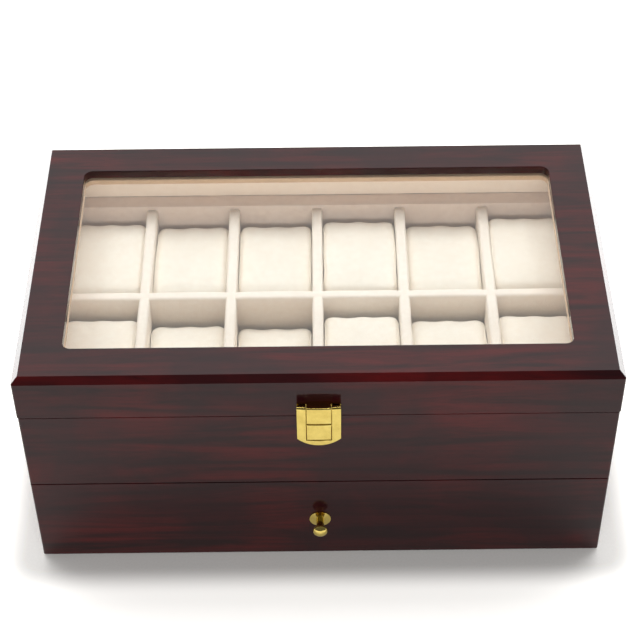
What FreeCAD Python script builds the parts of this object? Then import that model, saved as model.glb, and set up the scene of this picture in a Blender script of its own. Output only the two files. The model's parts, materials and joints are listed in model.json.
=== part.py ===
import FreeCAD, Part
import math
import os

# Watch box with a glazed lid, an upper tray and a drawer below it.
# Millimetres. +Z is up, the front faces -Y, and the origin lies on the ground under the case's centre.

OVERCUT = 1.0  # how far a cut runs past the wood it goes through

# Case
CASE_W = 340.0  # outside, left to right
CASE_D = 202.5  # outside, front to back
DRAWER_ZONE_H = 66.8  # height of the drawer front's band
TRAY_ZONE_H = 58.2  # height of the upper tray's band
WALL_T = 12.0
CORNER_R = 1.2  # upright outer edges
SEAM_EASE_R = 0.5  # edges along the open seams
SEAM_GAP = 0.4  # between lid and case, and between case and drawer front
TRAY_FLOOR_T = 5.0
BASE_T = 6.0
BASE_FELT_T = 1.0
BASE_FELT_INSET = 3.0

# Lid
LID_H = 31.1
LID_OVERHANG = 0.4
LID_CHAMFER = 3.65
LID_TOP_CORNER_R = 0.4
LID_LIP_T = 5.5  # wood above the glass
WINDOW_MARGIN_X = 26.3  # from the lid's side to the window
WINDOW_MARGIN_Y = 24.9  # from the lid's front or back to the window
WINDOW_CORNER_R = 5.0
WINDOW_EASE_R = 0.5
GLASS_T = 2.0
GLASS_LAP = 5.0  # glass hidden under the lip
GLASS_PLAY = 0.3
RETAINER_T = 3.9
LID_LINING_T = 1.5
LINING_CLEARANCE = 0.2

# Tray
PAD_T = 1.5
END_LINER_T = 11.0  # padded boards along the front and the back
SIDE_LINER_T = 4.0
LINER_TOP_R = 1.5
LINER_DROP = 0.1  # below the case's top edge
DIVIDER_T = 6.8
DIVIDER_DROP = 2.3  # below the case's top edge
DIVIDER_TOP_R = 2.8
DIVIDER_END_GAP = 0.1
LAP_CLEARANCE = 0.1  # on each side of a half-lap slot
COLUMNS = 6

# Pillows: each row has a height, and each of its pillows, from the left, a share of it
PILLOW_SIDE_CLEARANCE = 0.4
PILLOW_END_CLEARANCE = 1.0
REAR_PILLOW_H = 44.8
REAR_PILLOW_SHARES = (1.03, 0.95, 0.955, 1.035, 0.935, 1.08)
FRONT_PILLOW_H = 37.8
FRONT_PILLOW_SHARES = (1.08, 0.905, 0.83, 1.11, 0.985, 1.085)
DRAWER_PILLOW_H = 35.0
DRAWER_PILLOW_SHARES = (1.0,)
PILLOW_SAG = 1.0  # pressed flat underneath

# Drawer
DRAWER_WALL_T = 7.0
DRAWER_BOX_H = 52.0
DRAWER_SIDE_CLEARANCE = 0.6
DRAWER_BACK_CLEARANCE = 4.0
DRAWER_RUN_CLEARANCE = 0.3  # under the drawer box
DRAWER_FLOOR_T = 4.0
DRAWER_END_LINER_T = 5.0
DRAWER_SIDE_LINER_T = 1.5
DRAWER_LINER_DROP = 1.5  # below the drawer box's rim
DRAWER_DIVIDER_DROP = 6.0  # below the drawer box's rim
DRAWER_FOOT_R = 0.6  # the drawer front's lower edges

# Knob
KNOB_Z = 33.5
ROSETTE_R = 6.35
ROSETTE_RIM_T = 0.6
ROSETTE_DOME_T = 1.3
ROSETTE_FLAT_R = 3.1  # round the stem's foot
ROSETTE_BEND = (0.7, 0.6)  # a point of the dome, as shares of its radius and its rise
STEM_R = 2.25
HEAD_R = 4.5
HEAD_RIM_R = 0.35  # rounding of the head's rear edge
HEAD_DOME_T = 3.2  # from that edge to the head's far side
HEAD_SHOULDER_DEG = 40.0  # where the head's round side meets its flatter cap
KNOB_REACH = 12.4  # from the drawer front to the head's far side
KNOB_SCREW_R = 1.2
KNOB_SCREW_HEAD_R = 3.0
KNOB_SCREW_HEAD_T = 1.8
KNOB_SCREW_GRIP = 7.0  # thread held inside the knob
THREAD_CLEARANCE = 0.05

# Latch
LATCH_W = 24.8
LATCH_PROUD = 6.6  # how far the middle of the latch stands off the case
LATCH_BULGE = 0.6  # how much lower its outer edges stand
LATCH_PLATE_T = 1.2
LATCH_EDGE_R = 0.45
BLOCK_W = 14.0
BLOCK_TOP_R = 0.8
LATCH_SPLIT_DROP = 0.7  # the gap between the two blocks, below the lid's seam
LATCH_SPLIT_GAP = 0.6
PLATE_GAP = 0.1  # from a plate to the lid's lower edge or to the block above it
LID_BLOCK_H = 12.5
CATCH_BLOCK_H = 12.8
LATCH_PLATE_DROP = 0.7  # a plate's free edge, short of its block's
FLAP_T = 2.7
FLAP_SIDE_GAP = 0.2
FLAP_LOWER_GAP = 0.35
FLAP_EAR_RISE = 0.25  # an ear's top, above the lid block's
FLAP_EAR_TOP_R = 1.3
FLAP_BAND_H = 4.3  # under the catch, at the middle
FLAP_BOTTOM_RISE = 4.9  # from the middle of the curved bottom to its ends
LATCH_PIN_R = 0.7
LATCH_PIN_DROP = 2.9  # below the lid block's top
LATCH_PIN_BITE = 3.4  # held in each ear
LATCH_SCREW_X = 9.7
LATCH_SCREW_INSET = 5.6  # from the seam

# Hinges
HINGE_FROM_SIDE = 60.0  # from the case's side to the hinge's middle
HINGE_L = 30.0
HINGE_INSET = 3.0  # pin, in from the case's back
LEAF_W = 7.6
LEAF_T = 1.2
BARREL_R = 2.0
HINGE_PIN_R = 0.9
RUNNING_CLEARANCE = 0.05
KNUCKLE_GAP = 0.15
BARREL_CLEARANCE = 0.3
LEAF_CLEARANCE = 0.1
LID_OPENING_DEG = 95.0  # where the bevelled back edges meet
LEAF_SCREW_X = 9.0
LEAF_SCREW_INSET = 2.9  # from the leaf's inner edge

# Small countersunk screws of the hinges and the latch
SCREW_R = 1.0
SCREW_HEAD_R = 1.9
SCREW_HEAD_T = 1.0
SCREW_L = 8.0
SCREW_TIP = 1.5

# Levels and faces that several pieces share
HALF_W = CASE_W / 2
HALF_D = CASE_D / 2
LID_HALF_W = HALF_W + LID_OVERHANG
LID_HALF_D = HALF_D + LID_OVERHANG
INNER_HALF_W = HALF_W - WALL_T
INNER_HALF_D = HALF_D - WALL_T
CASE_BOTTOM = BASE_FELT_T
DRAWER_SEAM = CASE_BOTTOM + DRAWER_ZONE_H
LID_SEAM = DRAWER_SEAM + TRAY_ZONE_H
CASE_TOP = LID_SEAM - SEAM_GAP / 2
TRAY_BOTTOM = DRAWER_SEAM + SEAM_GAP / 2
LID_BOTTOM = LID_SEAM + SEAM_GAP / 2
LID_TOP = LID_SEAM + LID_H
GLASS_TOP = LID_TOP - LID_LIP_T
GLASS_BOTTOM = GLASS_TOP - GLASS_T
RETAINER_BOTTOM = GLASS_BOTTOM - RETAINER_T
LID_INNER_HALF_W = LID_HALF_W - WALL_T
LID_INNER_HALF_D = LID_HALF_D - WALL_T
WINDOW_HALF_W = LID_HALF_W - WINDOW_MARGIN_X
WINDOW_HALF_D = LID_HALF_D - WINDOW_MARGIN_Y
PAD_TOP = TRAY_BOTTOM + TRAY_FLOOR_T + PAD_T
TRAY_HALF_W = INNER_HALF_W - SIDE_LINER_T
TRAY_HALF_D = INNER_HALF_D - END_LINER_T
BASE_TOP = CASE_BOTTOM + BASE_T
DRAWER_BOTTOM = BASE_TOP + DRAWER_RUN_CLEARANCE
DRAWER_RIM = DRAWER_BOTTOM + DRAWER_BOX_H
DRAWER_HALF_W = INNER_HALF_W - DRAWER_SIDE_CLEARANCE
DRAWER_INNER_HALF_W = DRAWER_HALF_W - DRAWER_WALL_T
DRAWER_FRONT_Y = -INNER_HALF_D
DRAWER_BACK_Y = INNER_HALF_D - DRAWER_BACK_CLEARANCE
DRAWER_INNER_BACK_Y = DRAWER_BACK_Y - DRAWER_WALL_T
DRAWER_PAD_TOP = DRAWER_BOTTOM + DRAWER_FLOOR_T + PAD_T
HINGE_X = HALF_W - HINGE_FROM_SIDE
HINGE_Y = HALF_D - HINGE_INSET
KNUCKLE_L = HINGE_L / 4  # each of the case leaf's two knuckles
LATCH_FRONT_Y = -HALF_D - LATCH_PROUD
LATCH_BULGE_R = ((LATCH_W / 2) ** 2 + LATCH_BULGE ** 2) / (2 * LATCH_BULGE)
LATCH_SPLIT_Z = LID_SEAM - LATCH_SPLIT_DROP
LID_BLOCK_BOTTOM = LATCH_SPLIT_Z + LATCH_SPLIT_GAP / 2
LID_BLOCK_TOP = LID_BLOCK_BOTTOM + LID_BLOCK_H
CATCH_BLOCK_TOP = LATCH_SPLIT_Z - LATCH_SPLIT_GAP / 2
CATCH_BLOCK_BOTTOM = CATCH_BLOCK_TOP - CATCH_BLOCK_H
LATCH_PIN_Y = LATCH_FRONT_Y + FLAP_T / 2 + LATCH_BULGE / 4
LATCH_PIN_Z = LID_BLOCK_TOP - LATCH_PIN_DROP


# Plain shapes
def block(x_range, y_range, z_range):
    size = [high - low for low, high in (x_range, y_range, z_range)]
    corner = FreeCAD.Vector(x_range[0], y_range[0], z_range[0])
    return Part.makeBox(size[0], size[1], size[2], corner)


def span(half):
    return (-half, half)


def rod(radius, start, direction, length):
    return Part.makeCylinder(radius, length, FreeCAD.Vector(*start), FreeCAD.Vector(*direction))


def polygon_prism(yz_points, x_range):
    corners = [FreeCAD.Vector(x_range[0], y, z) for y, z in yz_points]
    outline = Part.makePolygon(corners + corners[:1])
    return Part.Face(outline).extrude(FreeCAD.Vector(x_range[1] - x_range[0], 0, 0))


def rounded_rectangle(half_x, half_y, radius, z):
    edges = []
    lean = radius * (1 - math.sqrt(0.5))
    for sign_x, sign_y in ((1, -1), (1, 1), (-1, 1), (-1, -1)):
        along_y = FreeCAD.Vector(sign_x * half_x, sign_y * (half_y - radius), z)
        middle = FreeCAD.Vector(sign_x * (half_x - lean), sign_y * (half_y - lean), z)
        along_x = FreeCAD.Vector(sign_x * (half_x - radius), sign_y * half_y, z)
        if sign_x * sign_y > 0:
            ends = (along_y, along_x)
        else:
            ends = (along_x, along_y)
        if edges:
            edges.append(Part.makeLine(edges[-1].Vertexes[-1].Point, ends[0]))
        edges.append(Part.Arc(ends[0], middle, ends[1]).toShape())
    edges.append(Part.makeLine(edges[-1].Vertexes[-1].Point, edges[0].Vertexes[0].Point))
    return Part.Wire(edges)


def rounded_plate(half_x, half_y, radius, z_range):
    face = Part.Face(rounded_rectangle(half_x, half_y, radius, z_range[0]))
    return face.extrude(FreeCAD.Vector(0, 0, z_range[1] - z_range[0]))


def eased(shape, radius, wanted):
    """Round every edge whose middle point passes the test."""
    edges = [edge for edge in shape.Edges if wanted(edge.CenterOfMass)]
    return shape.makeFillet(radius, edges)


def near(value, target):
    return abs(value - target) < 1e-4


# Case
def front_board(z_range):
    """A full-width board of the front, its upright corners and both seam edges eased."""
    board = block(span(HALF_W), (-HALF_D, -INNER_HALF_D), z_range)
    board = eased(board, CORNER_R, lambda p: near(abs(p.x), HALF_W) and near(p.y, -HALF_D))
    return board


def case_front_rail():
    rail = front_board((TRAY_BOTTOM, CASE_TOP))
    rail = eased(rail, SEAM_EASE_R, lambda p: p.y < -HALF_D + CORNER_R and not TRAY_BOTTOM < p.z < CASE_TOP)
    return rail.cut(latch_screw_holes(LID_SEAM - LATCH_SCREW_INSET, -HALF_D))


def case_side(sign):
    inner, outer = sorted((sign * INNER_HALF_W, sign * HALF_W))
    return block((inner, outer), span(INNER_HALF_D), (CASE_BOTTOM, CASE_TOP))


def case_back():
    board = block(span(HALF_W), (INNER_HALF_D, HALF_D), (CASE_BOTTOM, CASE_TOP))
    board = eased(board, CORNER_R, lambda p: near(abs(p.x), HALF_W) and near(p.y, HALF_D))
    board = board.cut(back_bevel(CASE_TOP, -1))
    for x in (-HINGE_X, HINGE_X):
        board = board.cut(hinge_recess(x, CASE_TOP, -1))
    return board


def tray_floor():
    return block(span(INNER_HALF_W), span(INNER_HALF_D), (TRAY_BOTTOM, TRAY_BOTTOM + TRAY_FLOOR_T))


def case_base():
    return block(span(INNER_HALF_W), span(INNER_HALF_D), (CASE_BOTTOM, BASE_TOP))


def base_felt():
    y_range = (DRAWER_FRONT_Y + BASE_FELT_INSET, HALF_D - BASE_FELT_INSET)
    return block(span(HALF_W - BASE_FELT_INSET), y_range, (0, BASE_FELT_T))


# Back edges: a bevel on each side of the seam, which stops the lid where the two bevels meet
def back_bevel(edge_z, side):
    """side is -1 for the case below the seam, and 1 for the lid above it."""
    reach = HINGE_INSET + LID_OVERHANG + OVERCUT
    fall = side * reach * math.tan(math.radians(LID_OPENING_DEG / 2))
    profile = (
        (HINGE_Y, edge_z),
        (HINGE_Y + reach, edge_z + fall),
        (HINGE_Y + reach, edge_z - side * OVERCUT),
        (HINGE_Y, edge_z - side * OVERCUT),
    )
    return polygon_prism(profile, span(LID_HALF_W + OVERCUT))


# Hinges
def hinge_recess(x, edge_z, side):
    """Mortise for a leaf, room for the barrel, and the two screw holes."""
    half = HINGE_L / 2 + LEAF_CLEARANCE
    depth = sorted((edge_z + side * LEAF_T, edge_z - side * OVERCUT))
    mortise = block((x - half, x + half), (HINGE_Y - LEAF_W - LEAF_CLEARANCE, HINGE_Y), depth)
    room = rod(BARREL_R + BARREL_CLEARANCE, (x - half, HINGE_Y, LID_SEAM), (1, 0, 0), 2 * half)
    recess = mortise.fuse(room)
    for screw_x in leaf_screw_places(x):
        recess = recess.fuse(screw_hole((screw_x, LEAF_SCREW_Y, edge_z), (0, 0, side)))
    return recess


LEAF_SCREW_Y = HINGE_Y - LEAF_W + LEAF_SCREW_INSET


def leaf_screw_places(x):
    return (x - LEAF_SCREW_X, x + LEAF_SCREW_X)


def barrel(radius, x, half_length):
    return rod(radius, (x - half_length, HINGE_Y, LID_SEAM), (1, 0, 0), 2 * half_length)


def hinge_leaf(x, edge_z, side, middle_knuckle):
    """One leaf in its mortise. The lid's leaf has the middle knuckle, the case's leaf the outer two."""
    half = HINGE_L / 2
    plate_z = sorted((edge_z, edge_z + side * LEAF_T))
    leaf = block((x - half, x + half), (HINGE_Y - LEAF_W, HINGE_Y), plate_z)
    for screw_x in leaf_screw_places(x):
        leaf = leaf.cut(screw((screw_x, LEAF_SCREW_Y, edge_z), (0, 0, side), THREAD_CLEARANCE))
    middle_half = half - KNUCKLE_L - KNUCKLE_GAP / 2
    sweep_r = BARREL_R + KNUCKLE_GAP
    if middle_knuckle:
        leaf = leaf.cut(barrel(sweep_r, x, half).cut(barrel(sweep_r, x, middle_half)))
        leaf = leaf.fuse(barrel(BARREL_R, x, middle_half))
    else:
        free_half = middle_half + KNUCKLE_GAP
        leaf = leaf.cut(barrel(sweep_r, x, free_half))
        leaf = leaf.fuse(barrel(BARREL_R, x, half).cut(barrel(sweep_r, x, free_half)))
    return leaf.cut(barrel(HINGE_PIN_R + RUNNING_CLEARANCE, x, half + OVERCUT)).removeSplitter()


def hinge_pin(x):
    return barrel(HINGE_PIN_R, x, HINGE_L / 2)


# Screws
def screw(head_centre, direction, extra=0.0):
    """A countersunk screw, its head flush at head_centre. extra widens it, for the hole in a plate."""
    start = FreeCAD.Vector(*head_centre)
    axis = FreeCAD.Vector(*direction)
    head = Part.makeCone(SCREW_HEAD_R + extra, SCREW_R + extra, SCREW_HEAD_T, start, axis)
    shank_l = SCREW_L - SCREW_HEAD_T - SCREW_TIP
    shank = Part.makeCylinder(SCREW_R + extra, shank_l, start + axis * SCREW_HEAD_T, axis)
    tip = Part.makeCone(SCREW_R + extra, extra, SCREW_TIP, start + axis * (SCREW_L - SCREW_TIP), axis)
    return head.fuse(shank).fuse(tip).removeSplitter()


def screw_hole(head_centre, direction):
    return rod(SCREW_R + THREAD_CLEARANCE, head_centre, direction, SCREW_L + THREAD_CLEARANCE)


def latch_screw_places(z, face_y):
    front = face_y - LATCH_PLATE_T
    return [(x, front, z) for x in (-LATCH_SCREW_X, LATCH_SCREW_X)]


def latch_screw_holes(z, face_y):
    holes = [screw_hole(place, (0, 1, 0)) for place in latch_screw_places(z, face_y)]
    return holes[0].fuse(holes[1])


def screws_of(edge_z, side, latch_z, face_y):
    """The screws of one side of the seam: two in each hinge leaf and two in the latch plate."""
    solids = []
    for x in (-HINGE_X, HINGE_X):
        solids += [screw((screw_x, LEAF_SCREW_Y, edge_z), (0, 0, side)) for screw_x in leaf_screw_places(x)]
    solids += [screw(place, (0, 1, 0)) for place in latch_screw_places(latch_z, face_y)]
    return Part.makeCompound(solids)


def case_screws():
    return screws_of(CASE_TOP, -1, LID_SEAM - LATCH_SCREW_INSET, -HALF_D)


def lid_screws():
    return screws_of(LID_BOTTOM, 1, LID_SEAM + LATCH_SCREW_INSET, -LID_HALF_D)


# Lid
def lid_top():
    """One board with eased corners, a chamfer all round, the window, and a rabbet for the glass below."""
    shoulder = LID_TOP - LID_CHAMFER
    foot = rounded_plate(LID_HALF_W, LID_HALF_D, CORNER_R, (GLASS_BOTTOM, shoulder))
    low = rounded_rectangle(LID_HALF_W, LID_HALF_D, CORNER_R, shoulder)
    high = rounded_rectangle(LID_HALF_W - LID_CHAMFER, LID_HALF_D - LID_CHAMFER, LID_TOP_CORNER_R, LID_TOP)
    board = foot.fuse(Part.makeLoft([low, high], True, True))
    through = (GLASS_BOTTOM - OVERCUT, LID_TOP + OVERCUT)
    window = rounded_plate(WINDOW_HALF_W, WINDOW_HALF_D, WINDOW_CORNER_R, through)
    board = board.cut(window)
    board = eased(board, WINDOW_EASE_R, on_window_rim)
    lap = GLASS_LAP + GLASS_PLAY
    rabbet_r = WINDOW_CORNER_R + lap
    depth = (GLASS_BOTTOM - OVERCUT, GLASS_TOP)
    rabbet = rounded_plate(WINDOW_HALF_W + lap, WINDOW_HALF_D + lap, rabbet_r, depth)
    return board.cut(rabbet)


def on_window_rim(point):
    inside = abs(point.x) < WINDOW_HALF_W + 1e-4 and abs(point.y) < WINDOW_HALF_D + 1e-4
    return inside and near(point.z, LID_TOP)


def lid_end_rail(sign):
    """The lid's front or back rail, full width."""
    inner, outer = sorted((sign * LID_INNER_HALF_D, sign * LID_HALF_D))
    rail = block(span(LID_HALF_W), (inner, outer), (LID_BOTTOM, GLASS_BOTTOM))
    return eased(rail, CORNER_R, lambda p: near(abs(p.x), LID_HALF_W) and near(p.y, sign * LID_HALF_D))


def lid_front_rail():
    rail = lid_end_rail(-1)
    rail = eased(rail, SEAM_EASE_R, lambda p: p.y < -LID_HALF_D + CORNER_R and near(p.z, LID_BOTTOM))
    return rail.cut(latch_screw_holes(LID_SEAM + LATCH_SCREW_INSET, -LID_HALF_D))


def lid_back_rail():
    rail = lid_end_rail(1).cut(back_bevel(LID_BOTTOM, 1))
    for x in (-HINGE_X, HINGE_X):
        rail = rail.cut(hinge_recess(x, LID_BOTTOM, 1))
    return rail


def lid_side_rail(sign):
    inner, outer = sorted((sign * LID_INNER_HALF_W, sign * LID_HALF_W))
    rail = block((inner, outer), span(LID_INNER_HALF_D), (LID_BOTTOM, GLASS_BOTTOM))
    return eased(rail, SEAM_EASE_R, lambda p: near(p.x, sign * LID_HALF_W) and near(p.z, LID_BOTTOM))


def lid_glass():
    half_w = WINDOW_HALF_W + GLASS_LAP
    half_d = WINDOW_HALF_D + GLASS_LAP
    return rounded_plate(half_w, half_d, WINDOW_CORNER_R + GLASS_LAP, (GLASS_BOTTOM, GLASS_TOP))


def lid_glass_retainer():
    """A covered frame under the glass and the board."""
    frame = block(span(LID_INNER_HALF_W), span(LID_INNER_HALF_D), (RETAINER_BOTTOM, GLASS_BOTTOM))
    through = (RETAINER_BOTTOM - OVERCUT, GLASS_BOTTOM + OVERCUT)
    return frame.cut(rounded_plate(WINDOW_HALF_W, WINDOW_HALF_D, WINDOW_CORNER_R, through))


def lid_lining():
    """Four thin covered boards inside the lid's rails."""
    z_range = (LID_BOTTOM, RETAINER_BOTTOM)
    end_y = LID_INNER_HALF_D - LID_LINING_T
    side_x = LID_INNER_HALF_W - LID_LINING_T
    boards = [
        block(span(LID_INNER_HALF_W), (end_y, LID_INNER_HALF_D), z_range),
        block(span(LID_INNER_HALF_W), (-LID_INNER_HALF_D, -end_y), z_range),
        block((side_x, LID_INNER_HALF_W), span(end_y), z_range),
        block((-LID_INNER_HALF_W, -side_x), span(end_y), z_range),
    ]
    return Part.makeCompound(boards)


# Tray
def tray_floor_pad():
    return block(span(INNER_HALF_W), span(INNER_HALF_D), (PAD_TOP - PAD_T, PAD_TOP))


def tray_end_liner(sign):
    inner, outer = sorted((sign * TRAY_HALF_D, sign * INNER_HALF_D))
    top = CASE_TOP - LINER_DROP
    board = block(span(INNER_HALF_W), (inner, outer), (PAD_TOP, top))
    return eased(board, LINER_TOP_R, lambda p: near(p.y, sign * TRAY_HALF_D) and near(p.z, top))


def tray_side_liner(sign):
    inner, outer = sorted((sign * TRAY_HALF_W, sign * INNER_HALF_W))
    top = CASE_TOP - LINER_DROP
    board = block((inner, outer), span(TRAY_HALF_D), (PAD_TOP, top))
    return eased(board, LINER_TOP_R, lambda p: near(p.x, sign * TRAY_HALF_W) and near(p.z, top))


def cell_size(total):
    """Width of one cell where COLUMNS of them share the total width."""
    return (total - (COLUMNS - 1) * DIVIDER_T) / COLUMNS


def cell_centres(total):
    pitch = cell_size(total) + DIVIDER_T
    return [(column - (COLUMNS - 1) / 2) * pitch for column in range(COLUMNS)]


def crossing_centres(total):
    pitch = cell_size(total) + DIVIDER_T
    return [(crossing - COLUMNS / 2) * pitch for crossing in range(1, COLUMNS)]


def long_divider(half_w, centre_y, floor_z, top_z):
    """The divider between the two rows, slotted from above where the others cross it."""
    half_t = DIVIDER_T / 2
    y_range = (centre_y - half_t, centre_y + half_t)
    board = block(span(half_w - DIVIDER_END_GAP), y_range, (floor_z, top_z))
    board = eased(board, DIVIDER_TOP_R, lambda p: near(abs(p.y - centre_y), half_t) and near(p.z, top_z))
    middle_z = (floor_z + top_z) / 2
    slot_half = half_t + LAP_CLEARANCE
    slot_y = (y_range[0] - OVERCUT, y_range[1] + OVERCUT)
    for x in crossing_centres(2 * half_w):
        slot = block((x - slot_half, x + slot_half), slot_y, (middle_z, top_z + OVERCUT))
        board = board.cut(slot)
    return board


def cross_dividers(half_w, y_range, centre_y, floor_z, top_z):
    """The dividers between the columns, slotted from below where they cross the long one."""
    half_t = DIVIDER_T / 2
    middle_z = (floor_z + top_z) / 2
    slot_half = half_t + LAP_CLEARANCE
    slot_y = (centre_y - slot_half, centre_y + slot_half)
    ends = (y_range[0] + DIVIDER_END_GAP, y_range[1] - DIVIDER_END_GAP)
    boards = []
    for x in crossing_centres(2 * half_w):
        board = block((x - half_t, x + half_t), ends, (floor_z, top_z))
        board = eased(board, DIVIDER_TOP_R, lambda p: near(abs(p.x - x), half_t) and near(p.z, top_z))
        slot_x = (x - half_t - OVERCUT, x + half_t + OVERCUT)
        slot = block(slot_x, slot_y, (floor_z - OVERCUT, middle_z))
        boards.append(board.cut(slot))
    return Part.makeCompound(boards)


TRAY_DIVIDER_TOP = CASE_TOP - DIVIDER_DROP


def tray_long_divider():
    return long_divider(TRAY_HALF_W, 0, PAD_TOP, TRAY_DIVIDER_TOP)


def tray_cross_dividers():
    return cross_dividers(TRAY_HALF_W, span(TRAY_HALF_D), 0, PAD_TOP, TRAY_DIVIDER_TOP)


# Pillows
# From side to side a pillow is drawn in at its sewn ends: place, length, height and lift of each outline,
# as shares of the half width, the full length and the height.
PILLOW_STATIONS = (
    (-1.00, 0.93, 0.93, 0.020),
    (-0.91, 0.985, 0.985, 0.005),
    (-0.60, 1.00, 1.00, 0.000),
    (0.00, 1.00, 1.01, 0.000),
    (0.60, 1.00, 1.00, 0.000),
    (0.91, 0.985, 0.985, 0.005),
    (1.00, 0.93, 0.93, 0.020),
)
# Half an outline, seen from the side, from the base to the crown, as shares of the half length and the
# height. Each arc runs through a middle point.
PILLOW_FOOT = (0.84, 0.0)
PILLOW_SIDE = ((1.0, 0.38), (0.98, 0.70))
PILLOW_SHOULDER = ((0.93, 0.885), (0.78, 0.962))
PILLOW_CROWN = (0.0, 1.02)


def pillow_outline(x, centre_y, half_l, low_z, height):
    def at(share, sign):
        return FreeCAD.Vector(x, centre_y + sign * share[0] * half_l, low_z + share[1] * height)

    rear_side = Part.Arc(at(PILLOW_FOOT, 1), at(PILLOW_SIDE[0], 1), at(PILLOW_SIDE[1], 1))
    rear_shoulder = Part.Arc(at(PILLOW_SIDE[1], 1), at(PILLOW_SHOULDER[0], 1), at(PILLOW_SHOULDER[1], 1))
    crown = Part.Arc(at(PILLOW_SHOULDER[1], 1), at(PILLOW_CROWN, 1), at(PILLOW_SHOULDER[1], -1))
    front_shoulder = Part.Arc(at(PILLOW_SHOULDER[1], -1), at(PILLOW_SHOULDER[0], -1), at(PILLOW_SIDE[1], -1))
    front_side = Part.Arc(at(PILLOW_SIDE[1], -1), at(PILLOW_SIDE[0], -1), at(PILLOW_FOOT, -1))
    foot = Part.LineSegment(at(PILLOW_FOOT, -1), at(PILLOW_FOOT, 1))
    curves = (foot, rear_side, rear_shoulder, crown, front_shoulder, front_side)
    return Part.Wire([curve.toShape() for curve in curves])


def pillow(centre_x, y_range, cell_w, floor_z, tall):
    """A crowned pillow that fills its cell from side to side."""
    half_w = cell_w / 2 - PILLOW_SIDE_CLEARANCE
    centre_y = (y_range[0] + y_range[1]) / 2
    half_l = (y_range[1] - y_range[0]) / 2 - PILLOW_END_CLEARANCE
    outlines = []
    for place, length, height, lift in PILLOW_STATIONS:
        low_z = floor_z - PILLOW_SAG + lift * tall
        x = centre_x + place * half_w
        outlines.append(pillow_outline(x, centre_y, length * half_l, low_z, floor_z + height * tall - low_z))
    body = Part.makeLoft(outlines, True, False)
    under = block((centre_x - cell_w, centre_x + cell_w), y_range, (floor_z - tall, floor_z))
    return body.cut(under)


def pillow_row(half_w, y_range, floor_z, tall, shares):
    """The pillows of one row, from the left."""
    pillows = []
    for column, x in enumerate(cell_centres(2 * half_w)):
        share = shares[column % len(shares)]
        pillows.append(pillow(x, y_range, cell_size(2 * half_w), floor_z, share * tall))
    return pillows


def tray_pillows():
    """The tray's pillows by node name, numbered from the left."""
    half_t = DIVIDER_T / 2
    rows = (
        ("rear", (half_t, TRAY_HALF_D), REAR_PILLOW_H, REAR_PILLOW_SHARES),
        ("front", (-TRAY_HALF_D, -half_t), FRONT_PILLOW_H, FRONT_PILLOW_SHARES),
    )
    shapes = {}
    for row, y_range, tall, shares in rows:
        for number, shape in enumerate(pillow_row(TRAY_HALF_W, y_range, PAD_TOP, tall, shares), 1):
            shapes["tray_pillow_%s_%d" % (row, number)] = shape
    return shapes


# Drawer
def drawer_front():
    top = DRAWER_SEAM - SEAM_GAP / 2
    board = front_board((CASE_BOTTOM, top))
    board = eased(board, SEAM_EASE_R, lambda p: p.y < -HALF_D + CORNER_R and near(p.z, top))
    board = eased(board, DRAWER_FOOT_R, lambda p: near(abs(p.x), HALF_W) and near(p.z, CASE_BOTTOM))
    start = (0, -HALF_D - OVERCUT, KNOB_Z)
    shank = rod(KNOB_SCREW_R + THREAD_CLEARANCE, start, (0, 1, 0), WALL_T + 2 * OVERCUT)
    head = knob_screw_head(THREAD_CLEARANCE)
    return board.cut(shank).cut(head)


def drawer_side(sign):
    inner, outer = sorted((sign * DRAWER_INNER_HALF_W, sign * DRAWER_HALF_W))
    return block((inner, outer), (DRAWER_FRONT_Y, DRAWER_BACK_Y), (DRAWER_BOTTOM, DRAWER_RIM))


def drawer_back():
    y_range = (DRAWER_INNER_BACK_Y, DRAWER_BACK_Y)
    return block(span(DRAWER_INNER_HALF_W), y_range, (DRAWER_BOTTOM, DRAWER_RIM))


def drawer_bottom():
    y_range = (DRAWER_FRONT_Y, DRAWER_INNER_BACK_Y)
    return block(span(DRAWER_INNER_HALF_W), y_range, (DRAWER_BOTTOM, DRAWER_BOTTOM + DRAWER_FLOOR_T))


def drawer_floor_pad():
    y_range = (DRAWER_FRONT_Y, DRAWER_INNER_BACK_Y)
    return block(span(DRAWER_INNER_HALF_W), y_range, (DRAWER_PAD_TOP - PAD_T, DRAWER_PAD_TOP))


DRAWER_CELL_HALF_W = DRAWER_INNER_HALF_W - DRAWER_SIDE_LINER_T
DRAWER_CELL_FRONT_Y = DRAWER_FRONT_Y + DRAWER_END_LINER_T
DRAWER_CELL_BACK_Y = DRAWER_INNER_BACK_Y - DRAWER_END_LINER_T
DRAWER_MIDDLE_Y = (DRAWER_CELL_FRONT_Y + DRAWER_CELL_BACK_Y) / 2
DRAWER_DIVIDER_TOP = DRAWER_RIM - DRAWER_DIVIDER_DROP


def drawer_lining():
    """Four covered boards inside the drawer box."""
    z_range = (DRAWER_PAD_TOP, DRAWER_RIM - DRAWER_LINER_DROP)
    between = (DRAWER_CELL_FRONT_Y, DRAWER_CELL_BACK_Y)
    boards = [
        block(span(DRAWER_INNER_HALF_W), (DRAWER_FRONT_Y, DRAWER_CELL_FRONT_Y), z_range),
        block(span(DRAWER_INNER_HALF_W), (DRAWER_CELL_BACK_Y, DRAWER_INNER_BACK_Y), z_range),
        block((DRAWER_CELL_HALF_W, DRAWER_INNER_HALF_W), between, z_range),
        block((-DRAWER_INNER_HALF_W, -DRAWER_CELL_HALF_W), between, z_range),
    ]
    return Part.makeCompound(boards)


def drawer_long_divider():
    return long_divider(DRAWER_CELL_HALF_W, DRAWER_MIDDLE_Y, DRAWER_PAD_TOP, DRAWER_DIVIDER_TOP)


def drawer_cross_dividers():
    y_range = (DRAWER_CELL_FRONT_Y, DRAWER_CELL_BACK_Y)
    return cross_dividers(DRAWER_CELL_HALF_W, y_range, DRAWER_MIDDLE_Y, DRAWER_PAD_TOP, DRAWER_DIVIDER_TOP)


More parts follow.
